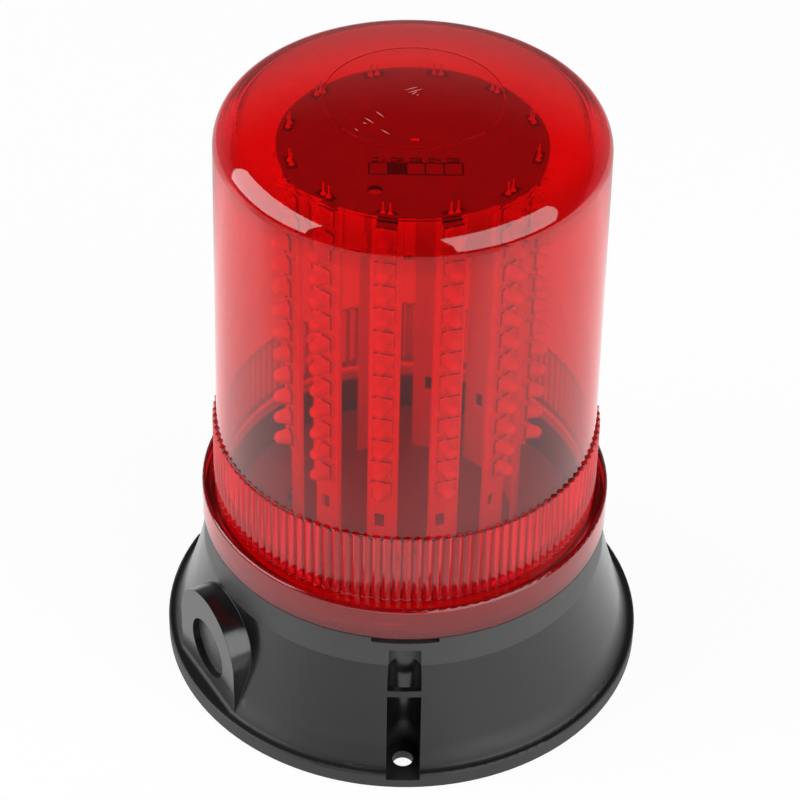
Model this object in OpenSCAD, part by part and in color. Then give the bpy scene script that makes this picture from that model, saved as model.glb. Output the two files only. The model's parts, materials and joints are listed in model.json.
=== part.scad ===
// LED warning beacon: black flared base, clear red ribbed lens, twelve-sided tower of LED strips.
// Millimetres, +Z up, origin at the centre of the base underside, front fixing slot toward -Y.
// Angles are counted from the front (-Y), positive toward +X.

/* [Base] */
// height of the seat on which the lens stands
seat_h = 63.5; // [58:0.5:70]
// how far the edge of the seat stays inside the lens skirt
seat_inset = 1.1; // [0.5:0.1:2]
// height of the upright band below the seat edge
band_h = 13.5; // [9:0.5:18]
// how far the band leans out from the seat edge to its foot
band_run = 1; // [0.6:0.1:1.4]
// how far the flare runs out from the seat edge to the rim
flare_run = 16.6; // [12:0.2:22]
// radius of the hollow curve of the flare
flare_curve_r = 220; // [150:5:400]
// height of the rim
rim_h = 6.5; // [5:0.1:9]
// rounding of the rim's upper edge
rim_edge_r = 1.2; // [0.5:0.1:2]
// flat top of the rim outside the flare
rim_step = 3.2; // [2.8:0.1:6]
// hollow fillet between flare and rim
foot_fillet = 1.8; // [1:0.1:2.6]
// wall of the base
base_wall = 3; // [2:0.1:4]
// depth of the deck below the seat
deck_drop = 8; // [6:0.5:12]
// thickness of the deck
deck_t = 3; // [2:0.1:4]
// room between the soldered header pins and the edge of the deck
deck_room = 3.6; // [2:0.1:5]
// wall of the collar that enters the lens
collar_wall = 3.2; // [2.8:0.1:4]

/* [Fixing slots] */
// number of fixing slots
fix_count = 3; // [3:1:4]
// distance of the fixing holes in from the rim
fix_inset = 11.5; // [10:0.1:14]
// fixing hole
fix_hole_d = 8; // [5:0.1:9]
// floor under the fixing screw
fix_floor = 3.8; // [3:0.1:5]
// width of the slot
slot_w = 13; // [11:0.1:15]
// how far the round back of the slot is centred behind the hole
slot_back = 2.5; // [1:0.1:2.5]
// top of the slot below the seat
slot_drop = 6.2; // [5:0.1:10]
// wall around the slot
slot_wall = 2.5; // [2:0.1:3]
// underside of the cross bar above the ground
bar_rise = 36; // [28:0.5:40]
// height of the cross bar
bar_h = 2.7; // [2:0.1:5]
// thickness of the cross bar
bar_t = 2.5; // [1.5:0.1:3.5]
// width of the notch above each slot
notch_w = 25.6; // [20:0.2:30]
// height of the notch
notch_h = 2.7; // [2:0.1:4]
// web between notch and collar
notch_web = 1.2; // [0.8:0.1:2]

/* [Conduit entry] */
// direction of the conduit entry
entry_angle = -60; // [-62:1:-58]
// radius of the arched boss
entry_r = 22.2; // [20:0.1:24]
// centre of the arch above the ground
entry_rise = 26.8; // [25:0.1:28]
// distance of the flat face in from the rim
entry_setback = 6.3; // [5.5:0.1:7]
// fillet between the face and the rim
entry_fillet = 2; // [1:0.1:3]
// diameter of the knockout recess
knockout_d = 25; // [20:0.5:32]
// centre of the knockout above the ground
knockout_rise = 23.8; // [22:0.1:26]
// depth of the knockout recess
knockout_depth = 3; // [2:0.1:4]
// thin web left behind the knockout
knockout_web = 1.6; // [1:0.1:2.5]

/* [Lens] */
// outer diameter of the skirt
skirt_d = 159; // [150:1:170]
// height of the skirt from its lower edge to the ledge
skirt_h = 15; // [14:0.5:20]
// height of the lens from its lower edge to the top of the dome
lens_h = 191.8; // [175:0.1:210]
// width of the ledge between skirt and lens body
ledge_w = 5.8; // [5:0.1:6.5]
// inward lean of the lens body in degrees
lens_draft = 0.76; // [0.2:0.02:1.2]
// inward lean of the inside of the body in degrees
core_draft = 1.4; // [1:0.02:1.6]
// wall of the lens at the ledge
lens_wall = 2.8; // [2.2:0.1:3.2]
// wall of the lens in the dome
dome_wall = 2.7; // [2:0.1:3.5]
// radius of the domed top
dome_r = 200; // [180:5:240]
// rounding of the shoulder outside
shoulder_r = 12.5; // [9:0.5:18]
// rounding of the shoulder inside
shoulder_inner_r = 11; // [8:0.5:16]
// rounding of the ledge edge
ledge_edge_r = 1.5; // [0.5:0.1:2.5]
// number of fine upright ribs
rib_count = 120; // [90:1:150]
// height of the ribs above the ledge
rib_h = 30.4; // [20:0.2:40]
// depth of the ribs from crest to valley
rib_depth = 1.3; // [1:0.1:1.6]
// how far the rib valleys stand out from the lens body above them
rib_step = 0.15; // [0.1:0.05:0.4]
// depth of the rib roots in the lens wall
rib_root = 0.5; // [0.4:0.1:0.8]
// radius of the fine moulded ring line on the dome
top_line_r = 32; // [24:1:40]
// width and depth of that line
top_line_w = 0.4; // [0.2:0.1:0.6]

/* [Bayonet] */
// clearance between lens and base
turn_gap = 0.3; // [0.3:0.1:0.6]
// room between skirt and collar
bayonet_room = 2.5; // [2.2:0.1:3]
// number of tabs and lugs
bayonet_count = 3; // [2:1:4]
// middle of the first collar tab
tab_angle = -20; // [-24:1:-18]
// arc covered by a collar tab
tab_span_angle = 22; // [16:1:26]
// height of a collar tab
tab_h = 3; // [2:0.1:3.5]
// collar top above the tab
tab_drop = 0.5; // [0:0.1:1]
// end of the lens lug where the turn begins
lug_end_angle = 0; // [-2:0.5:4]
// arc covered by a lens lug
lug_span_angle = 22; // [16:1:24]
// lower side of the lug above the seat
lug_lift = 2.4; // [1.5:0.1:3]
// arc of the stop beside each lug
stop_span_angle = 2.5; // [1.5:0.1:4]
// gap angle between stop and lug at rest
stop_gap_angle = 0.3; // [0.25:0.05:0.6]

/* [Lens seal] */
// thickness of the seal ring
seal_d = 3.4; // [3:0.1:4]
// depth of the groove in the collar
seal_groove = 0.7; // [0.5:0.1:1]
// side room in the groove
seal_room = 0.15; // [0.05:0.05:0.3]

/* [Light tower] */
// turn of the first strip from the front
tower_angle = -12; // [-15:1:15]
// distance of the strip faces from the middle
strip_r = 44; // [42:0.5:46]
// width of a strip
strip_w = 11.2; // [10.2:0.1:12]
// thickness of every board
board_t = 1.6; // [1.2:0.1:2]
// room between the top board and the lens
head_room = 19.8; // [16:0.1:24]
// overhang of the top board past the strip faces
top_board_over = 4.7; // [4:0.1:6]
// LEDs on one strip
led_count = 12; // [6:1:13]
// distance between LEDs
led_pitch = 10.16; // [9:0.02:11]
// first LED below the top board
led_drop = 9.7; // [8:0.1:14]
// side of the square LED body
led_w = 7.6; // [6:0.1:8]
// height of the LED body
led_body_h = 2.8; // [2:0.1:4]
// foot diameter of the LED dome
led_foot_d = 6.6; // [4:0.1:6.8]
// tip diameter of the LED dome
led_tip_d = 5; // [3:0.1:6]
// height of the leaning part of the LED dome
led_cone_h = 3; // [1:0.1:5]
// width of the slot low in each strip
vent_w = 3.9; // [2:0.1:5]
// height of that slot
vent_h = 7.4; // [4:0.1:9]
// middle of that slot above the driver board
vent_rise = 33; // [20:0.5:36]
// sideways shift of that slot
vent_shift = -1; // [-1.5:0.1:1.5]
// hole in the top board
access_hole_d = 5.5; // [3:0.1:7]
// distance of that hole from the middle
access_hole_r = 33; // [26:0.5:34]
// direction of that hole
access_hole_angle = -24; // [-40:1:0]

/* [Headers] */
// distance between the two pins of a header
pin_pitch = 2.54; // [2:0.02:2.6]
// pin diameter
pin_d = 0.64; // [0.5:0.02:0.8]
// clearance around a pin
pin_clear = 0.1; // [0.05:0.01:0.2]
// depth and height of a header body
header_d = 2.54; // [2.3:0.02:2.8]
// pin end beyond the soldered side
pin_tail = 4.7; // [3:0.1:6]
// foot diameter of a solder joint
solder_d = 2.2; // [1.6:0.1:2.4]
// height of a solder joint
solder_h = 1.5; // [0.8:0.1:2]

/* [Driver board] */
// room between driver board and collar
driver_gap = 3; // [2:0.1:6]
// height of the pillars above the deck
pillar_rise = 2; // [1.5:0.1:4]
// diameter of the pillars
pillar_d = 8; // [7:0.1:10]
// length of the pillars under the deck
pillar_depth = 6; // [4:0.5:8]
// distance of the pillars from the middle
pillar_r = 60; // [57:0.5:61]
// number of pillars
pillar_count = 3; // [3:1:4]
// direction of the first pillar
pillar_angle = 30; // [20:1:40]
// screw shank diameter
screw_d = 2.5; // [2:0.1:3]
// clearance of the screw in the board
screw_clear = 0.3; // [0.2:0.05:0.5]
// clearance of the screw in the pillar
pilot_clear = 0.05; // [0.02:0.01:0.1]
// screw length under the head
screw_l = 9; // [7:0.5:10]
// room under the screw tip
screw_tip_room = 1; // [0.5:0.1:1.5]
// screw head diameter
screw_head_d = 5.4; // [4.6:0.1:6]
// screw head height
screw_head_h = 1.9; // [1.5:0.1:2.5]
// width of the driving slot of every screw
driver_slot_w = 0.8; // [0.5:0.1:1]
// depth of that slot
driver_slot_depth = 0.8; // [0.5:0.1:1]

/* [Terminals and driver parts] */
// number of wire terminals
way_count = 3; // [2:1:4]
// distance between terminals
way_pitch = 5.08; // [5:0.02:5.2]
// depth of the terminal block
block_d = 9; // [8:0.5:12]
// height of the terminal block
block_h = 10; // [9:0.5:14]
// distance of the block from the middle
block_r = 30; // [26:0.5:34]
// wire hole
wire_hole_d = 3.2; // [2:0.1:3.6]
// depth of the wire hole
wire_hole_depth = 6; // [4:0.5:7]
// screw well
well_d = 3.8; // [3:0.1:4.2]
// depth of the screw well
well_depth = 3; // [2:0.1:4]
// clearance of the terminal screw in its well
well_clear = 0.1; // [0.05:0.01:0.2]
// height of a terminal screw head
way_screw_h = 1.8; // [1.2:0.1:2]
// diameter of the inductor flanges
coil_d = 14; // [10:0.5:16]
// diameter of the inductor winding
coil_core_d = 10.5; // [7:0.5:12]
// height of the inductor
coil_h = 9; // [7:0.5:12]
// thickness of the inductor flanges
coil_flange_t = 1.6; // [1:0.1:2]
// diameter of the two capacitors
cap_d = 10; // [8:0.5:12]
// height of the capacitors
cap_h = 14; // [10:0.5:18]
// crimp groove depth of the capacitors
cap_crimp = 0.5; // [0.3:0.1:0.8]
// crimp groove height above the capacitor foot
cap_crimp_rise = 2; // [1.5:0.1:3]
// distance of the driver parts from the middle
part_ring_r = 26; // [24:0.5:30]
// turn of the inductor from the conduit entry
coil_angle = 90; // [70:5:110]
// turn of the capacitors from the conduit entry
cap_angle = 180; // [165:5:195]
// angle between the two capacitors
cap_spread_angle = 40; // [30:1:60]
// turn of the small chips from the conduit entry
chip_angle = 270; // [255:5:285]
// angle between the two small chips
chip_spread_angle = 30; // [20:1:60]
// side of the square driver chip
chip_w = 8; // [5:0.5:10]
// height of the driver chips
chip_h = 2.2; // [1:0.1:3]
// length of the small chips
small_chip_l = 5; // [3:0.5:6]
// width of the small chips
small_chip_w = 4; // [3:0.5:5]

/* [Hidden] */
$fn = 96;
dome_facets = 384;
// how far joined shapes reach into each other and cuts reach past a face
overlap = 0.5;
// how far a rounding stands past the flats it joins, so that they cross cleanly
blend = 0.01;
// rim and seat
skirt_r = skirt_d / 2;
seat_r = skirt_r - seat_inset;
rim_r = seat_r + flare_run;
foot_r = rim_r - rim_step;
band_r = seat_r + band_run;
band_z = seat_h - band_h;
// centre of the flare curve, found from its two ends
chord_r = foot_r - band_r;
chord_z = band_z - rim_h;
chord_l = norm([chord_r, chord_z]);
chord_rise = sqrt(pow(flare_curve_r, 2) - pow(chord_l / 2, 2));
flare_cr = (band_r + foot_r) / 2 + chord_rise * chord_z / chord_l;
flare_cz = (band_z + rim_h) / 2 + chord_rise * chord_r / chord_l;
// fillet at the foot of the flare
foot_cz = rim_h + foot_fillet;
foot_reach = flare_curve_r - foot_fillet;
foot_cr = flare_cr - sqrt(pow(foot_reach, 2) - pow(foot_cz - flare_cz, 2));
foot_share = flare_curve_r / foot_reach;
foot_tangent_r = flare_cr + (foot_cr - flare_cr) * foot_share;
foot_tangent_z = flare_cz + (foot_cz - flare_cz) * foot_share;
// lens levels
skirt_z = seat_h + turn_gap;
ledge_z = skirt_z + skirt_h;
ledge_under_z = ledge_z - lens_wall;
lens_top_z = skirt_z + lens_h;
dome_z = lens_top_z - dome_r;
top_line_z = dome_z + sqrt(pow(dome_r, 2) - pow(top_line_r, 2));
skirt_in_r = skirt_r - lens_wall;
body_r = skirt_r - ledge_w;
rib_top_z = ledge_z + rib_h;
valley_r = body_r - rib_h * tan(lens_draft) + rib_step;
crest_r = valley_r + rib_depth;
rib_core_r = valley_r - rib_root;
// collar, deck and seal
collar_r = skirt_in_r - bayonet_room;
collar_in_r = collar_r - collar_wall;
deck_z = seat_h - deck_drop;
deck_under_z = deck_z - deck_t;
seal_r = (collar_r + collar_in_r) / 2;
seal_z = ledge_under_z - turn_gap - seal_d / 2;
collar_top_z = seal_z - seal_d / 2 + seal_groove;
groove_w = 2 * sqrt(pow(seal_d / 2, 2) - pow(seal_d / 2 - seal_groove, 2)) + 2 * seal_room;
// bayonet levels
tab_top_z = collar_top_z - tab_drop;
tab_under_z = tab_top_z - tab_h;
tab_r = skirt_in_r - turn_gap;
tab_start_angle = tab_angle - tab_span_angle / 2;
tab_end_angle = tab_angle + tab_span_angle / 2;
lug_in_r = collar_r + turn_gap;
lug_z = seat_h + lug_lift;
lug_top_z = tab_under_z - turn_gap;
lug_start_angle = lug_end_angle - lug_span_angle;
stop_end_angle = lug_start_angle - stop_gap_angle;
stop_start_angle = stop_end_angle - stop_span_angle;
// fixing slots
fix_r = rim_r - fix_inset;
slot_top_z = seat_h - slot_drop;
slot_back_r = fix_r - slot_back;
bar_back_r = flare_at(bar_rise + bar_h / 2) - bar_t;
// conduit entry
entry_face = rim_r - entry_setback;
entry_front_t = knockout_depth + knockout_web;
entry_root = collar_in_r;
// light tower, with one node for each strip
strip_count = 12;
driver_z = deck_z + pillar_rise;
driver_top_z = driver_z + board_t;
driver_r = collar_in_r - driver_gap;
top_board_z = lens_top_z - dome_wall - head_room - board_t;
top_board_r = strip_r + top_board_over;
strip_l = top_board_z - driver_top_z;
led_top_z = top_board_z - led_drop;
header_w = 2 * pin_pitch;
pin_ring_r = strip_r + header_d / 2;
pin_hole_d = pin_d + 2 * pin_clear;
pin_buried_l = board_t + header_d + pin_d;
deck_opening_r = norm([pin_pitch / 2, pin_ring_r]) + solder_d / 2 + deck_room;
block_w = way_count * way_pitch;

// repeats a child evenly round the middle, starting at an angle from the front
module around(count, first = 0) {
    for (i = [0 : count - 1]) {
        rotate([0, 0, first + i * 360 / count]) children();
    }
}

// part of a ring between two angles counted from the front
module arc_bar(from, to, r_in, r_out, z_low, z_high) {
    rotate_extrude(angle = to - from, start = from - 90)
        translate([r_in, z_low])
        square([r_out - r_in, z_high - z_low]);
}

// square with its outer upper corner rounded
module rounded_block(r_in, r_out, z_low, z_high, edge_r) {
    difference() {
        translate([r_in, z_low]) square([r_out - r_in, z_high - z_low]);
        translate([r_out - edge_r, z_high - edge_r]) difference() {
            square(2 * edge_r);
            circle(r = edge_r + blend);
        }
    }
}

// radius of the flare at a height
function flare_at(z) = flare_cr - sqrt(pow(flare_curve_r, 2) - pow(z - flare_cz, 2));

// the space outside the hollow flare, widened by a wall
module flare_void(wall) {
    translate([flare_cr, flare_cz]) circle(r = flare_curve_r + wall);
}

// section of the base without its hollow underside
module base_section() {
    difference() {
        union() {
            difference() {
                square([rim_r, band_z + overlap]);
                flare_void(0);
            }
            polygon([
                [0, band_z - overlap], [band_r + band_run * overlap / band_h, band_z - overlap],
                [seat_r, seat_h], [0, seat_h]
            ]);
            rounded_block(0, rim_r, 0, rim_h, rim_edge_r);
            difference() {
                polygon([
                    [foot_cr, rim_h], [foot_r - base_wall, rim_h],
                    [foot_tangent_r, foot_tangent_z], [foot_cr, foot_cz]
                ]);
                translate([foot_cr, foot_cz]) circle(r = foot_fillet + blend);
            }
            translate([collar_in_r, deck_z]) square([collar_wall, collar_top_z - deck_z]);
        }
        translate([0, deck_z]) square([collar_in_r, collar_top_z]);
        translate([0, -overlap]) square([deck_opening_r, collar_top_z]);
        translate([seal_r - groove_w / 2, collar_top_z - seal_groove]) square([groove_w, seal_d]);
    }
}

// section of the hollow under the deck
module hollow_section() {
    difference() {
        translate([0, -overlap]) square([rim_r, deck_under_z + overlap]);
        flare_void(base_wall);
    }
}

// plan of a fixing slot, half round at the back and open at the rim
module slot_plan(grow) {
    translate([0, -slot_back_r]) circle(r = slot_w / 2 + grow + blend);
    translate([-slot_w / 2 - grow, -rim_r - overlap])
        square([slot_w + 2 * grow, rim_r + overlap - slot_back_r]);
}

// room of one fixing slot, with the cross bar left standing
module slot_room() {
    difference() {
        translate([0, 0, fix_floor]) linear_extrude(slot_top_z - fix_floor) slot_plan(0);
        translate([-slot_w, -rim_r, bar_rise]) cube([2 * slot_w, rim_r - bar_back_r, bar_h]);
    }
    translate([0, -fix_r, -overlap]) cylinder(d = fix_hole_d, h = fix_floor + 2 * overlap);
}

// notch in the seat edge above a fixing slot
module seat_notch() {
    translate([-notch_w / 2, -seat_r - base_wall, seat_h - notch_h])
        cube([notch_w, seat_r + base_wall - collar_r - notch_web, notch_h + overlap]);
}

// arch of the conduit boss
module entry_arch(grow) {
    translate([0, entry_rise]) circle(r = entry_r + grow + blend);
    translate([-entry_r - grow, 0]) square([2 * (entry_r + grow), entry_rise]);
}

// a plan shape pushed toward the front between two distances from the middle
module push_front(near, far) {
    translate([0, -near, 0]) rotate([90, 0, 0]) linear_extrude(far - near) children();
}

// room in front of the flat conduit face, above the rim
module entry_front() {
    rotate([90, 0, 90]) linear_extrude(2 * entry_r, center = true) difference() {
        translate([-rim_r - overlap, rim_h]) square([entry_setback + overlap, seat_h - rim_h]);
        difference() {
            translate([-entry_face - entry_fillet, rim_h]) square(entry_fillet);
            translate([-entry_face - entry_fillet, rim_h + entry_fillet]) circle(r = entry_fillet + blend);
        }
    }
}

module base() {
    color([0.03, 0.03, 0.032])
    difference() {
        union() {
            difference() {
                union() {
                    rotate_extrude() base_section();
                    rotate([0, 0, entry_angle]) push_front(entry_root, entry_face) entry_arch(0);
                }
                rotate([0, 0, entry_angle]) entry_front();
                difference() {
                    union() {
                        rotate_extrude() hollow_section();
                        rotate([0, 0, entry_angle])
                            push_front(entry_root - overlap, entry_face - entry_front_t)
                            entry_arch(-base_wall);
                    }
                    around(fix_count) linear_extrude(deck_z) slot_plan(slot_wall);
                    rotate([0, 0, entry_angle])
                        push_front(entry_face - entry_front_t, entry_face) entry_arch(0);
                }
            }
            around(pillar_count, pillar_angle)
                translate([0, -pillar_r, deck_under_z - pillar_depth])
                cylinder(d = pillar_d, h = driver_z - deck_under_z + pillar_depth);
            around(bayonet_count) {
                arc_bar(tab_start_angle, tab_end_angle, collar_r - overlap, tab_r, tab_under_z, tab_top_z);
                arc_bar(stop_start_angle, stop_end_angle, collar_r - overlap, tab_r, lug_z, tab_top_z);
            }
        }
        around(fix_count) {
            slot_room();
            seat_notch();
        }
        rotate([0, 0, entry_angle])
            translate([0, 0, knockout_rise])
            push_front(entry_face - knockout_depth, entry_face + overlap)
            circle(d = knockout_d);
        around(pillar_count, pillar_angle)
            translate([0, -pillar_r, driver_top_z - screw_l - screw_tip_room])
            cylinder(d = screw_d + 2 * pilot_clear, h = screw_l);
    }
}

// radius of the lens body's wall at a height, moved in by a depth
function wall_r(z, depth, lean) = body_r - depth - (z - ledge_z) * tan(lean);

// height of the centre of a shoulder rounding that touches wall and dome
function shoulder_z(depth, lean, dome, fillet) =
    let (
        slope = tan(lean),
        root_r = wall_r(0, depth, lean) - fillet / cos(lean),
        share = 1 + pow(slope, 2),
        middle = slope * root_r + dome_z,
        rest = pow(root_r, 2) + pow(dome_z, 2) - pow(dome - fillet, 2)
    )
    (middle + sqrt(pow(middle, 2) - share * rest)) / share;

// section of the lens body: leaning wall, domed top and rounded shoulder
module body_section(depth, lean, dome, fillet) {
    low_z = ledge_under_z - overlap;
    centre_z = shoulder_z(depth, lean, dome, fillet);
    centre_r = wall_r(centre_z, depth, lean) - fillet / cos(lean);
    dome_way = [centre_r, centre_z - dome_z] / (dome - fillet);
    difference() {
        intersection() {
            polygon([
                [0, low_z], [wall_r(low_z, depth, lean), low_z],
                [wall_r(lens_top_z, depth, lean), lens_top_z], [0, lens_top_z]
            ]);
            translate([0, dome_z]) circle(r = dome, $fn = dome_facets);
        }
        translate([centre_r, centre_z]) difference() {
            polygon([[0, 0], [2 * fillet, 0], [2 * fillet, 2 * fillet], 2 * fillet * dome_way]);
            circle(r = fillet + blend);
        }
    }
}

// section of the lens without ribs and lugs
module lens_section() {
    difference() {
        union() {
            difference() {
                body_section(0, lens_draft, dome_r, shoulder_r);
                square([skirt_r, ledge_under_z]);
                translate([rib_core_r, ledge_z]) square([skirt_r, rib_h]);
            }
            rounded_block(skirt_in_r, skirt_r, skirt_z, ledge_z, ledge_edge_r);
            translate([rib_core_r - overlap, ledge_under_z])
                square([skirt_in_r - rib_core_r + 2 * overlap, lens_wall]);
        }
        body_section(lens_wall, core_draft, dome_r - dome_wall, shoulder_inner_r);
        translate([top_line_r, top_line_z - top_line_w]) square([top_line_w, 2 * top_line_w]);
    }
}

// ring of fine upright ribs
module rib_ring() {
    step = 360 / rib_count;
    points = [
        for (i = [0 : rib_count - 1], half = [0, 0.5])
            (half == 0 ? crest_r : valley_r) * [cos((i + half) * step), sin((i + half) * step)]
    ];
    translate([0, 0, ledge_z - overlap]) linear_extrude(rib_h + overlap) difference() {
        polygon(points);
        circle(r = rib_core_r - overlap);
    }
}

module lens() {
    color([0.75, 0.02, 0.03, 0.6])
    union() {
        rotate_extrude() lens_section();
        rib_ring();
        around(bayonet_count)
            arc_bar(lug_start_angle, lug_end_angle, lug_in_r, skirt_in_r + overlap, lug_z, lug_top_z);
    }
}

module lens_seal() {
    color([0.75, 0.74, 0.7]) rotate_extrude() translate([seal_r, seal_z]) circle(d = seal_d);
}

// the two pin places of every strip
module each_pin() {
    around(strip_count, tower_angle) {
        for (side = [-1, 1]) {
            translate([side * pin_pitch / 2, -pin_ring_r, 0]) children();
        }
    }
}

module driver_board() {
    color([0.3, 0.17, 0.08])
    difference() {
        translate([0, 0, driver_z]) cylinder(r = driver_r, h = board_t);
        around(pillar_count, pillar_angle)
            translate([0, -pillar_r, driver_z - overlap])
            cylinder(d = screw_d + 2 * screw_clear, h = board_t + 2 * overlap);
        each_pin()
            translate([0, 0, driver_z - overlap])
            cylinder(d = pin_hole_d, h = board_t + 2 * overlap);
    }
}

// slotted pan head screw standing at its seat, shank down
module slotted_screw(shank_d, shank_l, head_d, head_h) {
    difference() {
        union() {
            translate([0, 0, -shank_l]) cylinder(d = shank_d, h = shank_l + overlap);
            cylinder(d = head_d, h = head_h);
        }
        translate([-head_d, -driver_slot_w / 2, head_h - driver_slot_depth])
            cube([2 * head_d, driver_slot_w, driver_slot_depth + overlap]);
    }
}

module board_screws() {
    color([0.7, 0.7, 0.68])
    around(pillar_count, pillar_angle)
        translate([0, -pillar_r, driver_top_z])
        slotted_screw(screw_d, screw_l, screw_head_d, screw_head_h);
}

module top_board() {
    color([0.3, 0.17, 0.08])
    difference() {
        translate([0, 0, top_board_z]) cylinder(r = top_board_r, h = board_t);
        rotate([0, 0, access_hole_angle])
            translate([0, -access_hole_r, top_board_z - overlap])
            cylinder(d = access_hole_d, h = board_t + 2 * overlap);
        each_pin()
            translate([0, 0, top_board_z - overlap])
            cylinder(d = pin_hole_d, h = board_t + 2 * overlap);
    }
}

// header bodies against the strip faces, lower side at a height
module headers(low_z) {
    color([0.03, 0.03, 0.03])
    around(strip_count, tower_angle) difference() {
        translate([-header_w / 2, -strip_r - header_d, low_z]) cube([header_w, header_d, header_d]);
        for (side = [-1, 1]) {
            translate([side * pin_pitch / 2, -pin_ring_r, low_z - overlap])
                cylinder(d = pin_hole_d, h = header_d + 2 * overlap);
        }
    }
}

// one soldered pin: tail up, solder joint standing on the ground plane
module soldered_pin() {
    translate([0, 0, -pin_buried_l]) cylinder(d = pin_d, h = pin_buried_l + pin_tail);
    cylinder(d1 = solder_d, d2 = pin_d, h = solder_h);
}

module upper_headers() {
    headers(top_board_z - header_d);
}

module upper_pins() {
    color([0.8, 0.79, 0.75]) each_pin() translate([0, 0, top_board_z + board_t]) soldered_pin();
}

module lower_headers() {
    headers(driver_top_z);
}

module lower_pins() {
    color([0.8, 0.79, 0.75]) each_pin() translate([0, 0, driver_z]) mirror([0, 0, 1]) soldered_pin();
}

// one LED strip, standing on the driver board under the top board
module led_strip(number) {
    color([0.9, 0.9, 0.88])
    rotate([0, 0, tower_angle + (number - 1) * 360 / strip_count]) difference() {
        translate([-strip_w / 2, -strip_r, driver_top_z]) cube([strip_w, board_t, strip_l]);
        translate([vent_shift - vent_w / 2, -strip_r - overlap, driver_top_z + vent_rise - vent_h / 2])
            cube([vent_w, board_t + 2 * overlap, vent_h]);
    }
}

// one LED: square body and bullet dome, standing on its foot
module led() {
    translate([-led_w / 2, -led_w / 2, 0]) cube([led_w, led_w, led_body_h]);
    translate([0, 0, led_body_h]) {
        cylinder(d1 = led_foot_d, d2 = led_tip_d, h = led_cone_h);
        translate([0, 0, led_cone_h]) sphere(d = led_tip_d);
    }
}

// the LEDs of one strip
module led_row(number) {
    color([0.95, 0.9, 0.88])
    rotate([0, 0, tower_angle + (number - 1) * 360 / strip_count])
        for (i = [0 : led_count - 1]) {
            translate([0, -strip_r, led_top_z - i * led_pitch]) rotate([90, 0, 0]) led();
        }
}

// puts a driver part under the driver board, hanging down from it
module under_board(angle, reach) {
    rotate([0, 0, angle]) translate([0, -reach, driver_z]) mirror([0, 0, 1]) children();
}

// the places of the terminals along the block
module each_way() {
    for (i = [0 : way_count - 1]) {
        translate([(i - (way_count - 1) / 2) * way_pitch, 0, 0]) children();
    }
}

module terminal_block() {
    color([0.1, 0.35, 0.15])
    under_board(entry_angle, block_r) difference() {
        translate([-block_w / 2, -block_d / 2, 0]) cube([block_w, block_d, block_h]);
        each_way() {
            translate([0, -block_d / 2 - overlap, block_h / 2 - wire_hole_d / 2])
                rotate([-90, 0, 0]) cylinder(d = wire_hole_d, h = wire_hole_depth + overlap);
            translate([0, 0, block_h - well_depth]) cylinder(d = well_d, h = well_depth + overlap);
        }
    }
}

module terminal_screws() {
    color([0.75, 0.74, 0.7])
    under_board(entry_angle, block_r)
        each_way() translate([0, 0, block_h - well_depth]) difference() {
            cylinder(d = well_d - 2 * well_clear, h = way_screw_h);
            translate([-well_d / 2, -driver_slot_w / 2, way_screw_h - driver_slot_depth])
                cube([well_d, driver_slot_w, driver_slot_depth + overlap]);
        }
}

module driver_inductor() {
    color([0.25, 0.22, 0.2])
    under_board(entry_angle + coil_angle, part_ring_r) {
        cylinder(d = coil_d, h = coil_flange_t);
        cylinder(d = coil_core_d, h = coil_h);
        translate([0, 0, coil_h - coil_flange_t]) cylinder(d = coil_d, h = coil_flange_t);
    }
}

module driver_capacitors() {
    color([0.1, 0.1, 0.12])
    for (side = [-1, 1]) {
        under_board(entry_angle + cap_angle + side * cap_spread_angle / 2, part_ring_r) difference() {
            cylinder(d = cap_d, h = cap_h);
            translate([0, 0, cap_crimp_rise])
                rotate_extrude() translate([cap_d / 2, 0]) circle(r = cap_crimp);
        }
    }
}

module driver_chips() {
    color([0.05, 0.05, 0.05]) {
        translate([-chip_w / 2, -chip_w / 2, driver_z - chip_h]) cube([chip_w, chip_w, chip_h]);
        for (side = [-1, 1]) {
            under_board(entry_angle + chip_angle + side * chip_spread_angle / 2, part_ring_r)
                translate([-small_chip_w / 2, -small_chip_l / 2, 0])
                cube([small_chip_w, small_chip_l, chip_h]);
        }
    }
}

base();
lens();
lens_seal();
driver_board();
board_screws();
top_board();
upper_headers();
upper_pins();
lower_headers();
lower_pins();
terminal_block();
terminal_screws();
driver_inductor();
driver_capacitors();
driver_chips();
led_strip(1);  // led_strip_01
led_strip(2);  // led_strip_02
led_strip(3);  // led_strip_03
led_strip(4);  // led_strip_04
led_strip(5);  // led_strip_05
led_strip(6);  // led_strip_06
led_strip(7);  // led_strip_07
led_strip(8);  // led_strip_08
led_strip(9);  // led_strip_09
led_strip(10);  // led_strip_10
led_strip(11);  // led_strip_11
led_strip(12);  // led_strip_12
led_row(1);  // led_row_01
led_row(2);  // led_row_02
led_row(3);  // led_row_03
led_row(4);  // led_row_04
led_row(5);  // led_row_05
led_row(6);  // led_row_06
led_row(7);  // led_row_07
led_row(8);  // led_row_08
led_row(9);  // led_row_09
led_row(10);  // led_row_10
led_row(11);  // led_row_11
led_row(12);  // led_row_12
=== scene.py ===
"""LED warning beacon: looks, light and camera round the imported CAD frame."""

import json
from math import cos, pi, radians, sin, sqrt

import bpy
from mathutils import Matrix, Vector

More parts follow.
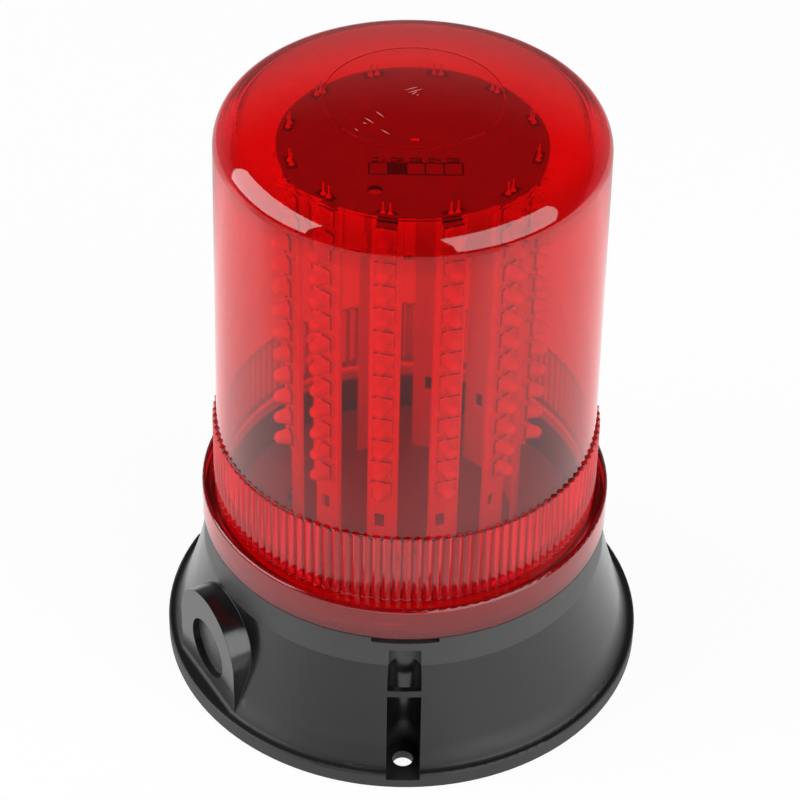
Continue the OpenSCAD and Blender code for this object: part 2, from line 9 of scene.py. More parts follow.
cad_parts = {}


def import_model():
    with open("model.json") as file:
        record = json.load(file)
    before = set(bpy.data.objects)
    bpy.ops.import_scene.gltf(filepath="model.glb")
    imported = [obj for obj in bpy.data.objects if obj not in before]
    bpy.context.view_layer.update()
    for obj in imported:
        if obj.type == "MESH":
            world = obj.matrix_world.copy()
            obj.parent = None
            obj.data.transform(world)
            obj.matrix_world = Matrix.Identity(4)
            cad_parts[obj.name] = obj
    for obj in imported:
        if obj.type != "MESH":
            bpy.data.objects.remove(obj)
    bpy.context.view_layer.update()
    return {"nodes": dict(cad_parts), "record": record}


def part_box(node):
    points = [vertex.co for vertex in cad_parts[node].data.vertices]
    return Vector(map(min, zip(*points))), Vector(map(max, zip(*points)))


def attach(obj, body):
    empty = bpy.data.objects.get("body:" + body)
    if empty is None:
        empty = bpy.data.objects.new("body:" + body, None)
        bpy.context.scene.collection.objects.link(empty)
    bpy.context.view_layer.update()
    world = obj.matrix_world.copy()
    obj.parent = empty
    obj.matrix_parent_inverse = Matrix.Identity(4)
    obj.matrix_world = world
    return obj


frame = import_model()
nodes = frame["nodes"]

# Lengths are in millimetres unless a name or comment says metres; angles in degrees, counted from the
# front (-Y) toward +X. A pair is a start and an end, a width and a depth, or a place in plan
MM = 0.001

# Taken from the frame
BOARD_TOP_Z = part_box("top_board")[1].z / MM
DOME_TOP_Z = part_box("lens")[1].z / MM
RIM_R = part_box("base")[1].x / MM

# LED tower
STRIP_COUNT = 12
STRIP_R = 44.0
TOWER_ANGLE = -12.0
HEADER_D = 2.54
HEADER_BAR_Z = 225.0
HEADER_BAR_W = 7.6
PIN_RING_R = STRIP_R + HEADER_D / 2
PIN_PATCH = (7.8, 3.6)
LED_DEPTH = 2.8
LED_FACE_R = STRIP_R + LED_DEPTH
LED_TOP_Z = 221.8
LED_PITCH = 10.16

# Painted shadow line round each LED: its depth, its lower end, and the gap in it
LED_LINE = 0.9
LED_LINE_FOOT = -2.2
LED_GAP_MIDDLE = -1.4
LED_GAP_HALF = 0.8

# Lens; the painted valley shade runs between two shares of the rib spacing from the crest, a painted notch
# shade is a width and a height
SKIRT_Z = 63.8
SKIRT_LIP = 0.5
SKIRT_SEAM = 0.55
LEDGE_Z = 78.8
RIB_H = 30.4
RIB_TOP_Z = LEDGE_Z + RIB_H
RIB_ROOT_R = 72.9
RIB_COUNT = 120
RIB_VALLEY = (0.38, 0.42)
RIB_NOTCH = (2.2, 2.0)
RIB_ROUNDING = 1.0
SHOULDER_Z = (226.0, 238.0)
SHOULDER_R = (63.0, 71.5)
DOME_R = 200.0
SCRATCH_T = 0.03

# Base and top board
BAND_Z = (49.8, 50.2)
FOOT_Z = (6.3, 8.6)
FOOT_R = 88.0
BASE_ROUNDING = 0.4
KNOCKOUT_ANGLE = -60.0
KNOCKOUT_INSET = 9.3
ACCESS_HOLE_ANGLE = -24.0
ACCESS_HOLE_REACH = 33.0
ACCESS_HOLE_R = 2.8

# Picking faces: slack in place, and how far a normal must lean a way, as a cosine
FACE_SLACK = 0.1
LEDGE_LEAN = 0.2
FOOT_LEAN = 0.4
COLLAR_LEAN = 0.5
KNOCKOUT_LEAN = 0.9
LED_FRONT_LEAN = 0.5

# Dark printing on the top board: a row of boxes with one filled, and a numeral over each
PRINT_T = 0.06
BOX_SIZE = (6.58, 7.1)
BOX_COUNT = 5
BOX_FILLED = 1
BOX_ROW = (0.95, -16.95)
BOX_LINE = 0.6
NUMERAL_RISE = 1.9
NUMERAL_SIZE = (1.4, 2.4)
NUMERAL_GAP = 2.3
NUMERAL_LINE = 0.65
TEST_PAD = (0.75, 0.85)
TEST_PAD_SIZE = (2.9, 1.5)

# Strokes shown in each numeral: top, upper left, upper right, middle, lower left, lower right, foot
NUMERALS = {0: "1110111", 1: "0010010", 2: "1011101", 3: "1011011", 4: "0111010", 5: "1101011"}

# Fine scratches on the dome: two ends in plan, then the width
SCRATCHES = [
    ((-13.7, -12.0), (-10.5, -15.7), 0.20), ((-17.4, -15.4), (-14.0, -18.9), 0.20),
    ((-11.7, -22.3), (-8.6, -25.0), 0.20), ((-20.8, -20.9), (-19.5, -22.4), 0.18),
    ((-17.9, -18.0), (-16.6, -18.9), 0.16), ((-3.2, 0.4), (1.2, 2.4), 0.22),
    ((-2.3, -1.4), (2.9, 1.1), 0.22), ((-1.0, -2.5), (1.1, -0.6), 0.25), ((0.8, -2.9), (1.6, -2.4), 0.30),
]

# Colours of the lens, the darker ones being painted shade and painted shadow, and how far they run toward the
# darker one in valleys, dome and shoulder
LENS_RED = (0.88, 0.008, 0.016)
LENS_SHADE_RED = (0.42, 0.004, 0.010)
LENS_SEAM_SHADOW = (0.03, 0.001, 0.001)
LENS_NOTCH_SHADE = (0.10, 0.0, 0.001)
VALLEY_SHADE = 0.6
DOME_PAINTED_SHADE = (0.1, 0.85)

# The middle stretch of a noise texture, in which most of its values lie
NOISE_CORE = (0.3, 0.7)

# Camera fitted to the photograph: angles in radians
CAMERA_PLACE = (-17.93, -821.61, 790.90)
CAMERA_YAW = 0.0187
CAMERA_PITCH = 0.6887
CAMERA_ROLL = 0.0223
FOCAL_LENGTH = 124.6
SENSOR_WIDTH = 36.0

# Floor: how bright it shows, and how that fades in reflections toward the front and the far end
FLOOR_R = 850.0
FLOOR_DROP = 0.2
FLOOR_GLOW = 0.93
FLOOR_FRONT_ANGLE = -25.0
FLOOR_FRONT = (150.0, 250.0)
FLOOR_FRONT_GLOW = 0.46
FLOOR_FAR = (220.0, 300.0)
FLOOR_FAR_GLOW = 0.55

# Room: fill on matt parts, glow in reflections from front to back, fill inside the lens from right to left
ROOM_FILL = 0.5
ROOM_GLOW = (0.04, 0.30)
ROOM_BACK_WAY = (0.0, 1.0, -0.9)
ROOM_BACK_SPAN = (0.1, 0.8)
LENS_FILL = (1.3, 3.7)
LENS_FILL_WAY = (-0.8, -0.3, 0.5)
LENS_FILL_SPAN = (-0.9, 0.9)

# Softboxes: name, angle, elevation, distance and size in metres, watts
AIM_HEIGHT = 200.0
SOFTBOXES = [
    ("softbox_left", -84.0, 15.0, 1.3, (1.42, 1.0), 19.0),
    ("softbox_right", 51.0, 18.0, 1.3, (1.5, 1.2), 19.0),
]


def principled(name, colour, roughness, **sockets):
    """A new material with one Principled shader; other sockets are given by name."""
    material = bpy.data.materials.new(name)
    material.use_nodes = True
    tree = material.node_tree
    shader = tree.nodes["Principled BSDF"]
    shader.inputs["Base Color"].default_value = (*colour, 1.0)
    shader.inputs["Roughness"].default_value = roughness
    for socket, value in sockets.items():
        shader.inputs[socket.replace("_", " ")].default_value = value
    return material, tree, shader


def feed(tree, socket, value):
    """Gives a socket a fixed value or another node's output."""
    if isinstance(value, (int, float, tuple)):
        socket.default_value = value
    else:
        tree.links.new(value, socket)


def calc(tree, operation, first, second=0.0):
    """A math node on one or two values."""
    node = tree.nodes.new("ShaderNodeMath")
    node.operation = operation
    feed(tree, node.inputs[0], first)
    feed(tree, node.inputs[1], second)
    return node.outputs[0]


def calc_vector(tree, operation, first, second=(0.0, 0.0, 0.0)):
    """A vector math node on one or two vectors; lengths and dot products come out as values."""
    node = tree.nodes.new("ShaderNodeVectorMath")
    node.operation = operation
    feed(tree, node.inputs[0], first)
    feed(tree, node.inputs[1], second)
    return node.outputs["Value" if operation in ("LENGTH", "DOT_PRODUCT") else "Vector"]


def coordinates(tree, kind="Object"):
    """Texture coordinates of one kind; those of the object are in metres."""
    return tree.nodes.new("ShaderNodeTexCoord").outputs[kind]


def place(tree):
    """Place of the surface in the object, in mm."""
    return calc_vector(tree, "DIVIDE", coordinates(tree), (MM, MM, MM))


def plan(tree):
    """Place of the surface in plan, as a vector from the upright axis, in mm."""
    return calc_vector(tree, "MULTIPLY", place(tree), (1.0, 1.0, 0.0))


def axis_of(tree, source, axis):
    """One coordinate of a vector."""
    split = tree.nodes.new("ShaderNodeSeparateXYZ")
    tree.links.new(source, split.inputs[0])
    return split.outputs[axis]


def place_axes(tree):
    """The three coordinates of the surface in the object, in mm."""
    return [axis_of(tree, place(tree), axis) for axis in "XYZ"]


def spread(tree, value, source, target=(0.0, 1.0), interpolation="LINEAR"):
    """Carries a value from one range into another and holds it at the ends."""
    span = tree.nodes.new("ShaderNodeMapRange")
    span.interpolation_type = interpolation
    feed(tree, span.inputs["Value"], value)
    for socket, number in zip(("From Min", "From Max", "To Min", "To Max"), (*source, *target)):
        span.inputs[socket].default_value = number
    return span.outputs["Result"]


def from_nearest(tree, value, step):
    """How far a value lies from the nearest multiple of a step."""
    steps = calc(tree, "DIVIDE", value, step)
    return calc(tree, "MULTIPLY", calc(tree, "SUBTRACT", steps, calc(tree, "ROUND", steps)), step)


def all_hold(tree, tests):
    """1 where every test holds and 0 elsewhere; a test is an operation, a value and a limit."""
    result = 1.0
    for operation, value, limit in tests:
        result = calc(tree, "MULTIPLY", result, calc(tree, operation, value, limit))
    return result


def noise(tree, scale, detail=3.0):
    """A noise texture in object coordinates; the scale is in cycles per metre."""
    texture = tree.nodes.new("ShaderNodeTexNoise")
    texture.inputs["Scale"].default_value = scale
    texture.inputs["Detail"].default_value = detail
    tree.links.new(coordinates(tree), texture.inputs["Vector"])
    return texture.outputs["Fac"]


def vary(tree, scale, low=0.0, high=1.0):
    """A value that wanders between two limits over the surface."""
    return spread(tree, noise(tree, scale), NOISE_CORE, (low, high))


def bump(tree, shader, height, strength, distance):
    """Fine surface relief from a height value; the distance is in mm."""
    relief = tree.nodes.new("ShaderNodeBump")
    relief.inputs["Strength"].default_value = strength
    relief.inputs["Distance"].default_value = distance * MM
    tree.links.new(height, relief.inputs["Height"])
    tree.links.new(relief.outputs["Normal"], shader.inputs["Normal"])
    return relief


def soften(tree, relief, radius):
    """Rounds edges in the shading, under a surface relief; the radius is in mm."""
    edge = tree.nodes.new("ShaderNodeBevel")
    edge.inputs["Radius"].default_value = radius * MM
    tree.links.new(edge.outputs["Normal"], relief.inputs["Normal"])


def blend_colours(tree, shader, factor, low, high):
    """Lets the base colour run from one colour to another with a factor."""
    ramp = tree.nodes.new("ShaderNodeValToRGB")
    for point, colour in zip(ramp.color_ramp.elements, (low, high)):
        point.color = (*colour, 1.0)
    tree.links.new(factor, ramp.inputs["Fac"])
    tree.links.new(ramp.outputs["Color"], shader.inputs["Base Color"])


def base_black():
    """Black moulded plastic: glossy flare, matt band above it, dull foot, soft edges and a fine grain."""
    flare, matt = (0.006, 0.006, 0.0065), (0.027, 0.027, 0.0275)
    material, tree, shader = principled("base_black", flare, 0.2, IOR=1.62)
    height = axis_of(tree, place(tree), "Z")
    band = spread(tree, height, BAND_Z)
    blend_colours(tree, shader, band, flare, matt)
    gloss = vary(tree, 60.0, 0.17, 0.23)
    dull_foot = spread(tree, height, (FOOT_Z[1], 2 * FOOT_Z[1]), (0.4, 0.0))
    for rougher in (calc(tree, "MULTIPLY", band, 0.25), dull_foot):
        gloss = calc(tree, "ADD", gloss, rougher)
    tree.links.new(gloss, shader.inputs["Roughness"])
    grain = bump(tree, shader, noise(tree, 2200.0, detail=2.0), strength=0.04, distance=0.2)
    soften(tree, grain, BASE_ROUNDING)
    return material


def lens_red(name, clear, roughness, colour=LENS_RED, rounding=0.0):
    """Red polycarbonate with slight moulding waves; clear is the share that passes straight through."""
    material, tree, shader = principled(name, colour, roughness, Transmission_Weight=clear, IOR=1.58)
    waves = bump(tree, shader, noise(tree, 24.0, detail=1.0), strength=0.04, distance=1.0)
    if rounding:
        soften(tree, waves, rounding)
    return material, tree, shader


def lens_body():
    """Body of the lens, with painted shade that darkens the red over the dome and most toward the shoulder.
    """
    material, tree, shader = lens_red("lens_red", clear=1.0, roughness=0.04)
    outward = spread(tree, calc_vector(tree, "LENGTH", plan(tree)), SHOULDER_R, DOME_PAINTED_SHADE)
    dome = spread(tree, axis_of(tree, place(tree), "Z"), SHOULDER_Z)
    # painted shade: the red runs darker over the dome and darkest toward the shoulder
    blend_colours(tree, shader, calc(tree, "MULTIPLY", outward, dome), LENS_RED, LENS_SHADE_RED)
    return material


def lens_skirt():
    """Skirt of the lens, with painted shadow along its lower edge: a dull dark band where the gap under it
    lies in shade.
    """
    roughness = 0.05
    material, tree, shader = lens_red("lens_skirt", clear=0.92, roughness=roughness)
    seam = SKIRT_Z + SKIRT_SEAM
    # painted shadow: below this height the skirt turns a dull near-black red, the shade of the gap under it
    above = spread(tree, axis_of(tree, place(tree), "Z"), (seam, seam + FACE_SLACK))
    blend_colours(tree, shader, above, LENS_SEAM_SHADOW, LENS_RED)
    tree.links.new(spread(tree, above, (0.0, 1.0), (0.9, roughness)), shader.inputs["Roughness"])
    return material


def lens_ribs():
    """Ribs of the lens: slightly hazy, with painted shade: a darker red in the valleys, and a dark notch at
    each valley's top where its end face lies in shade.
    """
    material, tree, shader = lens_red("lens_ribs", clear=0.72, roughness=0.08, rounding=RIB_ROUNDING)
    x, y, z = place_axes(tree)
    step = 2 * pi / RIB_COUNT
    from_crest = calc(tree, "ABSOLUTE", from_nearest(tree, calc(tree, "ARCTAN2", y, x), step))
    valley = spread(tree, from_crest, (RIB_VALLEY[0] * step, RIB_VALLEY[1] * step), (0.0, VALLEY_SHADE))
    notch_half = RIB_NOTCH[0] / 2 / RIB_ROOT_R
    below_top = calc(tree, "SUBTRACT", RIB_TOP_Z, z)
    narrowing = calc(tree, "MULTIPLY", below_top, notch_half / RIB_NOTCH[1])
    from_valley = calc(tree, "SUBTRACT", step / 2, from_crest)
    notch = calc(tree, "LESS_THAN", calc(tree, "ADD", from_valley, narrowing), notch_half)
    # painted shade: darker red in the valleys and dark notches at the valleys' tops
    blend_colours(tree, shader, calc(tree, "MAXIMUM", valley, notch), LENS_RED, LENS_NOTCH_SHADE)
    return material


def seal_pale():
    """Soft pale silicone."""
    material, tree, shader = principled("seal_rubber", (0.75, 0.74, 0.70), 0.55)
    bump(tree, shader, noise(tree, 900.0), strength=0.2, distance=0.2)
    return material


def board_brown():
    """Plain brown board, slightly mottled."""
    material, tree, shader = principled("board_brown", (0.25, 0.145, 0.07), 0.42)
    blend_colours(tree, shader, vary(tree, 160.0), (0.23, 0.13, 0.06), (0.27, 0.16, 0.08))
    return material


def tower_place(tree):
    """Place on the nearest strip in mm: sideways, upward from the nearest LED, outward from the axis."""
    x, y, z = place_axes(tree)
    reach = calc_vector(tree, "LENGTH", plan(tree))
    angle = calc(tree, "ARCTAN2", x, calc(tree, "MULTIPLY", y, -1.0))
    turn = from_nearest(tree, calc(tree, "SUBTRACT", angle, radians(TOWER_ANGLE)), 2 * pi / STRIP_COUNT)
    aside = calc(tree, "MULTIPLY", reach, calc(tree, "SINE", turn))
    up = from_nearest(tree, calc(tree, "SUBTRACT", z, LED_TOP_Z), LED_PITCH)
    return aside, up, calc(tree, "MULTIPLY", reach, calc(tree, "COSINE", turn))


def strip_white():
    """White mask over fibreglass, with a dark bar under the header on the outer face."""
    pale, dark = (0.92, 0.90, 0.86), (0.012, 0.012, 0.012)
    material, tree, shader = principled("strip_white", pale, 0.45)
    aside, _, out = tower_place(tree)
    bar = all_hold(tree, (
        ("GREATER_THAN", axis_of(tree, place(tree), "Z"), HEADER_BAR_Z),
        ("LESS_THAN", calc(tree, "ABSOLUTE", aside), HEADER_BAR_W / 2),
        ("GREATER_THAN", out, STRIP_R - FACE_SLACK),
    ))
    tone = calc(tree, "MULTIPLY", vary(tree, 220.0, 0.95, 1.0), calc(tree, "SUBTRACT", 1.0, bar))
    blend_colours(tree, shader, tone, dark, pale)
    return material


def led_clear():
    """Cast LED resin with painted shadow as a dark broken line along the upper and side edges."""
    pale, shade = (0.92, 0.90, 0.87), (0.36, 0.33, 0.31)
    material, tree, shader = principled("led_clear", pale, 0.15, Transmission_Weight=0.1, IOR=1.5)
    aside, up, out = tower_place(tree)
    outward = calc_vector(tree, "NORMALIZE", plan(tree))
    facing = calc_vector(tree, "DOT_PRODUCT", coordinates(tree, "Normal"), outward)
    from_gap = calc(tree, "ABSOLUTE", calc(tree, "SUBTRACT", aside, LED_GAP_MIDDLE))
    line = all_hold(tree, (
        ("LESS_THAN", facing, LED_FRONT_LEAN),
        ("GREATER_THAN", out, LED_FACE_R - LED_LINE),
        ("LESS_THAN", out, LED_FACE_R + FACE_SLACK / 2),
        ("GREATER_THAN", up, LED_LINE_FOOT),
        ("GREATER_THAN", from_gap, LED_GAP_HALF),
    ))
    # painted shadow: a dark line along the LED's upper and side edges where it meets the strip
    blend_colours(tree, shader, line, pale, shade)
    return material


def plain_plastic(name, colour, roughness):
    """Moulded plastic of small parts, with a light grain."""
    material, tree, shader = principled(name, colour, roughness)
    bump(tree, shader, noise(tree, 1800.0), strength=0.12, distance=0.2)
    return material


def metal(name, colour, low, high, share=1.0):
    """Bare metal whose roughness varies a little; a share below 1 stands for a dull skin on it."""
    material, tree, shader = principled(name, colour, low, Metallic=share)
    tree.links.new(vary(tree, 700.0, low, high), shader.inputs["Roughness"])
    return material


# One material for each slot in the record, then those of single zones and layers
MATERIALS = {
    "base_black": base_black(),
    "lens_red": lens_body(),
    "seal_rubber": seal_pale(),
    "board_brown": board_brown(),
    "strip_white": strip_white(),
    "led_clear": led_clear(),
    "header_black": plain_plastic("header_black", (0.012, 0.012, 0.012), 0.4),
    "solder_tin": metal("solder_tin", (0.95, 0.94, 0.92), 0.25, 0.4, 0.15),
    "screw_steel": metal("screw_steel", (0.62, 0.62, 0.60), 0.25, 0.45),
    "terminal_green": plain_plastic("terminal_green", (0.04, 0.22, 0.08), 0.4),
    "ferrite_grey": plain_plastic("ferrite_grey", (0.05, 0.05, 0.05), 0.6),
    "capacitor_sleeve": plain_plastic("capacitor_sleeve", (0.02, 0.02, 0.03), 0.3),
}
PRINT_AND_HOLE_SHADE = plain_plastic("print_black", (0.012, 0.010, 0.010), 0.5)
PIN_PATCH_DARK = plain_plastic("pin_patch_dark", (0.06, 0.035, 0.02), 0.4)
BASE_FOOT = plain_plastic("base_foot", (0.008, 0.008, 0.008), 0.5)
# Painted light: a lighter grey for the knockout's recessed disc
KNOCKOUT_PAINTED_LIGHT = plain_plastic("base_knockout_painted_light", (0.045, 0.045, 0.045), 0.35)
# Painted light: a lighter grey for the collar's inward faces
BASE_COLLAR_PAINTED_LIGHT = plain_plastic("base_collar_painted_light", (0.06, 0.05, 0.05), 0.4)
LENS_RIBS = lens_ribs()
LENS_SKIRT = lens_skirt()
# Painted shade: the ledge top and the skirt's lower lip take a darker red
LENS_EDGE_SHADE = lens_red("lens_edge_shade", clear=0.92, roughness=0.05, colour=LENS_SHADE_RED)[0]
WEAR = plain_plastic("lens_wear", (0.90, 0.40, 0.40), 0.6)


def dress_nodes():
    """Gives every CAD node the material of its slot."""
    for part in frame["record"]["subparts"]:
        mesh = nodes[part["node"]].data
        mesh.materials.clear()
        mesh.materials.append(MATERIALS[part["material_slot"]])


def around(angle, reach, aside=0.0):
    """Point in plan at an angle from the front, a distance out and a sideways shift."""
    turn = radians(angle)
    return (reach * sin(turn) + aside * cos(turn), -reach * cos(turn) + aside * sin(turn))


def mark_faces(node, material, chosen):
    """Gives the faces of a node that a test picks a material of their own."""
    mesh = nodes[node].data
    mesh.materials.append(material)
    for face in mesh.polygons:
        spot = face.center / MM
        if chosen(spot, spot.xy.length, face.normal):
            face.material_index = len(mesh.materials) - 1


# Tests for mark_faces: a face's middle in mm, how far that is from the axis, and the face's normal

def on_ribs(spot, reach, normal):
    return reach > RIB_ROOT_R and LEDGE_Z + FACE_SLACK < spot.z < RIB_TOP_Z + FACE_SLACK


def on_skirt(spot, reach, normal):
    return reach > RIB_ROOT_R and spot.z < LEDGE_Z + FACE_SLACK


def on_skirt_edge(spot, reach, normal):
    ledge = normal.z > LEDGE_LEAN and spot.z < LEDGE_Z + FACE_SLACK
    return reach > RIB_ROOT_R and (spot.z < SKIRT_Z + SKIRT_LIP or ledge)


def on_foot(spot, reach, normal):
    return reach > FOOT_R and FOOT_Z[0] < spot.z < FOOT_Z[1] and normal.z > FOOT_LEAN


def on_collar(spot, reach, normal):
    return spot.z > SKIRT_Z and normal.xy.dot(spot.xy) < -COLLAR_LEAN * reach


def on_knockout(spot, reach, normal):
    out = Vector((*around(KNOCKOUT_ANGLE, 1.0), 0.0))
    return normal.dot(out) > KNOCKOUT_LEAN and abs(spot.dot(out) - RIM_R + KNOCKOUT_INSET) < FACE_SLACK


def on_access_hole(spot, reach, normal):
    return (spot.xy - Vector(around(ACCESS_HOLE_ANGLE, ACCESS_HOLE_REACH))).length < ACCESS_HOLE_R


def mark_zones():
    """Tells apart ribs, skirt and ledge of the lens, zones of the base, and the board's hole wall; painted
    shade goes on the ledge, the skirt's lip and the hole wall, painted light on the collar's inner faces and
    the knockout.
    """
    mark_faces("lens", LENS_RIBS, on_ribs)
    mark_faces("lens", LENS_SKIRT, on_skirt)
    # painted shade on the ledge top and the skirt's lower lip
    mark_faces("lens", LENS_EDGE_SHADE, on_skirt_edge)
    mark_faces("base", BASE_FOOT, on_foot)
    # painted light: the collar's inward faces are lighter than the rest of the base
    mark_faces("base", BASE_COLLAR_PAINTED_LIGHT, on_collar)
    # painted light: the knockout's recessed disc is lighter than the rest of the base
    mark_faces("base", KNOCKOUT_PAINTED_LIGHT, on_knockout)
    # painted shade: the wall of the access hole takes the black print material
    mark_faces("top_board", PRINT_AND_HOLE_SHADE, on_access_hole)


def rectangle(centre, size):
    """Corners of an upright rectangle in plan."""
    (x, y), (w, h) = centre, (size[0] / 2, size[1] / 2)
    return [(x - w, y - h), (x + w, y - h), (x + w, y + h), (x - w, y + h)]


def outline(centre, size, line):
    """The four strokes of a rectangle drawn in outline."""
    (x, y), (w, h) = centre, size
    return [
        rectangle((x, y - h / 2), (w + line, line)),
        rectangle((x, y + h / 2), (w + line, line)),
        rectangle((x - w / 2, y), (line, h - line)),
        rectangle((x + w / 2, y), (line, h - line)),
    ]


def numeral(digit, centre):
    """Strokes of one numeral round a centre."""
    (x, y), (w, h), line = centre, NUMERAL_SIZE, NUMERAL_LINE
    level, upright = (w + line, line), (line, h / 2 - line)
    strokes = [
        rectangle((x, y + h / 2), level),
        rectangle((x - w / 2, y + h / 4), upright),
        rectangle((x + w / 2, y + h / 4), upright),
        rectangle((x, y), level),
        rectangle((x - w / 2, y - h / 4), upright),
        rectangle((x + w / 2, y - h / 4), upright),
        rectangle((x, y - h / 2), level),
    ]
    return [stroke for stroke, shown in zip(strokes, NUMERALS[digit]) if shown == "1"]


def board_level(x, y):
    """Height of the top board's upper side, in mm."""
    return BOARD_TOP_Z


def dome_level(x, y):
    """Height of the dome's outside, in mm."""
    return DOME_TOP_Z - DOME_R + sqrt(DOME_R ** 2 - x ** 2 - y ** 2)


def layer(name, quads, level, thickness, body, slot, material):
    """A thin layer of four-cornered patches lying on a surface; everything is in mm."""
    verts, faces = [], []
    for quad in quads:
        first = len(verts)
        for lift in (0.0, thickness):
            verts += [(x * MM, y * MM, (level(x, y) + lift) * MM) for x, y in quad]
        faces += [tuple(first + k for k in (3, 2, 1, 0)), tuple(first + k for k in (4, 5, 6, 7))]
        for i in range(4):
            j = (i + 1) % 4
            faces.append((first + i, first + j, first + 4 + j, first + 4 + i))
    mesh = bpy.data.meshes.new(name)
    mesh.from_pydata(verts, [], faces)
    mesh.materials.append(material)
    piece = bpy.data.objects.new(name, mesh)
    bpy.context.scene.collection.objects.link(piece)
    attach(piece, body)


def pin_patches():
    """A dark patch round each pair of header pins."""
    w, d = PIN_PATCH[0] / 2, PIN_PATCH[1] / 2
    corners = ((d, -w), (d, w), (-d, w), (-d, -w))
    for i in range(STRIP_COUNT):
        angle = TOWER_ANGLE + i * 360.0 / STRIP_COUNT
        yield [around(angle, PIN_RING_R + out, aside) for out, aside in corners]


def rate_boxes():
    """The row of boxes, one filled, with a numeral over each."""
    marks = []
    for i in range(BOX_COUNT):
        x = BOX_ROW[0] + (i - (BOX_COUNT - 1) / 2) * BOX_SIZE[0]
        if i == BOX_FILLED:
            marks.append(rectangle((x, BOX_ROW[1]), BOX_SIZE))
        else:
            marks += outline((x, BOX_ROW[1]), BOX_SIZE, BOX_LINE)
        y = BOX_ROW[1] + BOX_SIZE[1] / 2 + NUMERAL_RISE
        marks += numeral(0, (x - NUMERAL_GAP / 2, y)) + numeral(i + 1, (x + NUMERAL_GAP / 2, y))
    return marks


def print_board():
    """Dark patches round the pins, boxes and a tinned test pad on the top board."""
    on_board = (board_level, PRINT_T, "base_body")
    layer("pin_patches", pin_patches(), *on_board, "header_black", PIN_PATCH_DARK)
    layer("rate_boxes", rate_boxes(), *on_board, "header_black", PRINT_AND_HOLE_SHADE)
    test_pad = [rectangle(TEST_PAD, TEST_PAD_SIZE)]
    layer("test_pad", test_pad, *on_board, "solder_tin", MATERIALS["solder_tin"])


def scratch_dome():
    """Fine scratches on the dome, each a pointed sliver."""
    slivers = []
    for start, end, width in SCRATCHES:
        along = Vector(end) - Vector(start)
        across = Vector((-along.y, along.x)).normalized() * width / 2
        middle = (Vector(start) + Vector(end)) / 2
        slivers.append([tuple(p) for p in (start, middle - across, end, middle + across)])
    layer("lens_scratches", slivers, dome_level, SCRATCH_T, "lens_body", "lens_red", WEAR)


def shader_mix(tree, factor, first, second):
    """Mixes two shaders by a factor."""
    mix = tree.nodes.new("ShaderNodeMixShader")
    tree.links.new(factor, mix.inputs["Fac"])
    tree.links.new(first, mix.inputs[1])
    tree.links.new(second, mix.inputs[2])
    return mix.outputs[0]


def floor_white():
    """White floor that glows where it is seen, and less so in the reflections of its front and far end."""
    material = bpy.data.materials.new("floor_white")
    material.use_nodes = True
    tree = material.node_tree
    tree.nodes.clear()
    path = tree.nodes.new("ShaderNodeLightPath")
    direct = calc(tree, "MAXIMUM", path.outputs["Is Camera Ray"], path.outputs["Is Transmission Ray"])
    seen = calc(tree, "MAXIMUM", direct, path.outputs["Is Glossy Ray"])
    ahead = calc_vector(tree, "DOT_PRODUCT", place(tree), (*around(FLOOR_FRONT_ANGLE, 1.0), 0.0))
    front = spread(tree, ahead, FLOOR_FRONT, (1.0, FLOOR_FRONT_GLOW))
    far = spread(tree, axis_of(tree, place(tree), "Y"), FLOOR_FAR, (1.0, FLOOR_FAR_GLOW))
    reflected = calc(tree, "MINIMUM", front, far)
    matt = tree.nodes.new("ShaderNodeBsdfDiffuse")
    matt.inputs["Color"].default_value = (0.92, 0.92, 0.92, 1.0)
    glow = tree.nodes.new("ShaderNodeEmission")
    tree.links.new(calc(tree, "MAXIMUM", direct, reflected), glow.inputs["Strength"])
    share = calc(tree, "MULTIPLY", seen, FLOOR_GLOW)
    output = tree.nodes.new("ShaderNodeOutputMaterial")
    tree.links.new(shader_mix(tree, share, matt.outputs[0], glow.outputs[0]), output.inputs["Surface"])
    return material


def floor():
    """A round floor that shows as background but keeps a faint shadow."""
    bpy.ops.mesh.primitive_circle_add(
        vertices=96, radius=FLOOR_R * MM, fill_type="NGON", location=(0.0, 0.0, -FLOOR_DROP * MM))
    ground = bpy.context.object
    ground.name = "floor"
    ground.data.materials.append(floor_white())


def background(tree, strength):
    """White light of some strength from all round."""
    node = tree.nodes.new("ShaderNodeBackground")
    feed(tree, node.inputs["Strength"], strength)
    return node.outputs[0]


def toward(tree, way):
    """How far a world direction points a way."""
    return calc_vector(tree, "DOT_PRODUCT", coordinates(tree, "Generated"), way)


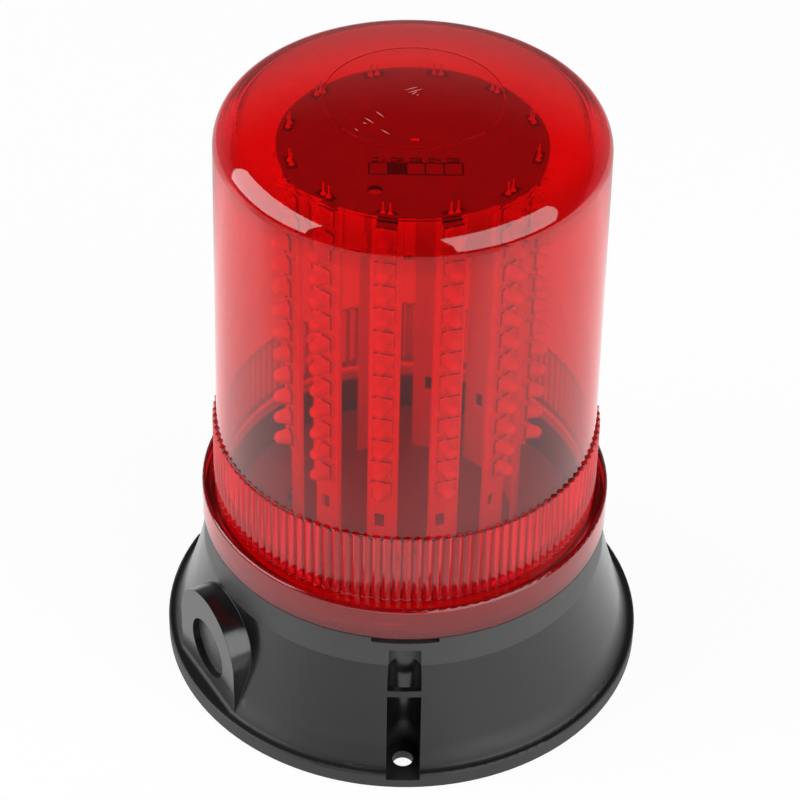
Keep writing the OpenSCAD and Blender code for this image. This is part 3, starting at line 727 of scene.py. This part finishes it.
def world():
    """White behind the object, a dim room in its reflections, soft fill on its matt parts."""
    sky = bpy.data.worlds.new("studio")
    bpy.context.scene.world = sky
    sky.use_nodes = True
    tree = sky.node_tree
    tree.nodes.clear()
    path = tree.nodes.new("ShaderNodeLightPath")
    through = path.outputs["Is Transmission Ray"]
    seen = calc(tree, "MAXIMUM", path.outputs["Is Camera Ray"], through)
    bounced = calc(tree, "GREATER_THAN", path.outputs["Diffuse Depth"], 0.5)
    room_glow = spread(tree, toward(tree, ROOM_BACK_WAY), ROOM_BACK_SPAN, ROOM_GLOW, "SMOOTHSTEP")
    direct = shader_mix(tree, seen, background(tree, room_glow), background(tree, 1.0))
    lens_fill = spread(tree, toward(tree, LENS_FILL_WAY), LENS_FILL_SPAN, LENS_FILL)
    fill = shader_mix(tree, through, background(tree, ROOM_FILL), background(tree, lens_fill))
    output = tree.nodes.new("ShaderNodeOutputWorld")
    tree.links.new(shader_mix(tree, bounced, direct, fill), output.inputs["Surface"])


def softbox(name, angle, elevation, distance, size, power):
    """A rectangular light that faces the object; degrees, metres and watts."""
    lamp = bpy.data.lights.new(name, "AREA")
    lamp.shape = "RECTANGLE"
    lamp.size, lamp.size_y = size
    lamp.energy = power
    lift = radians(elevation)
    aim = Vector((*around(angle, cos(lift)), sin(lift)))
    light = bpy.data.objects.new(name, lamp)
    light.location = aim * distance + Vector((0.0, 0.0, AIM_HEIGHT * MM))
    light.rotation_euler = aim.to_track_quat("Z", "Y").to_euler()
    bpy.context.scene.collection.objects.link(light)
    return light


def lights():
    """Softboxes that show as highlights on the shoulder but not through the lens."""
    for values in SOFTBOXES:
        softbox(*values).visible_transmission = False


def camera():
    """The photograph's camera."""
    forward = Vector((
        sin(CAMERA_YAW) * cos(CAMERA_PITCH), cos(CAMERA_YAW) * cos(CAMERA_PITCH), -sin(CAMERA_PITCH)))
    right = Vector((cos(CAMERA_YAW), -sin(CAMERA_YAW), 0.0))
    up = right.cross(forward)
    rolled_right = right * cos(CAMERA_ROLL) + up * sin(CAMERA_ROLL)
    rolled_up = up * cos(CAMERA_ROLL) - right * sin(CAMERA_ROLL)
    data = bpy.data.cameras.new("camera")
    data.sensor_width = SENSOR_WIDTH
    data.lens = FOCAL_LENGTH
    data.clip_start = 10.0 * MM
    eye = bpy.data.objects.new("camera", data)
    turn = Matrix((rolled_right, rolled_up, -forward)).transposed()
    eye.matrix_world = Matrix.Translation(Vector(CAMERA_PLACE) * MM) @ turn.to_4x4()
    bpy.context.scene.collection.objects.link(eye)
    bpy.context.scene.camera = eye


def light_paths():
    """Lets light run far enough inside the lens wall."""
    paths = bpy.context.scene.cycles
    paths.max_bounces = 96
    paths.glossy_bounces = 80
    paths.transmission_bounces = 32


dress_nodes()
mark_zones()
print_board()
scratch_dome()
floor()
world()
lights()
camera()
light_paths()
bpy.context.scene.view_settings.view_transform = "Standard"
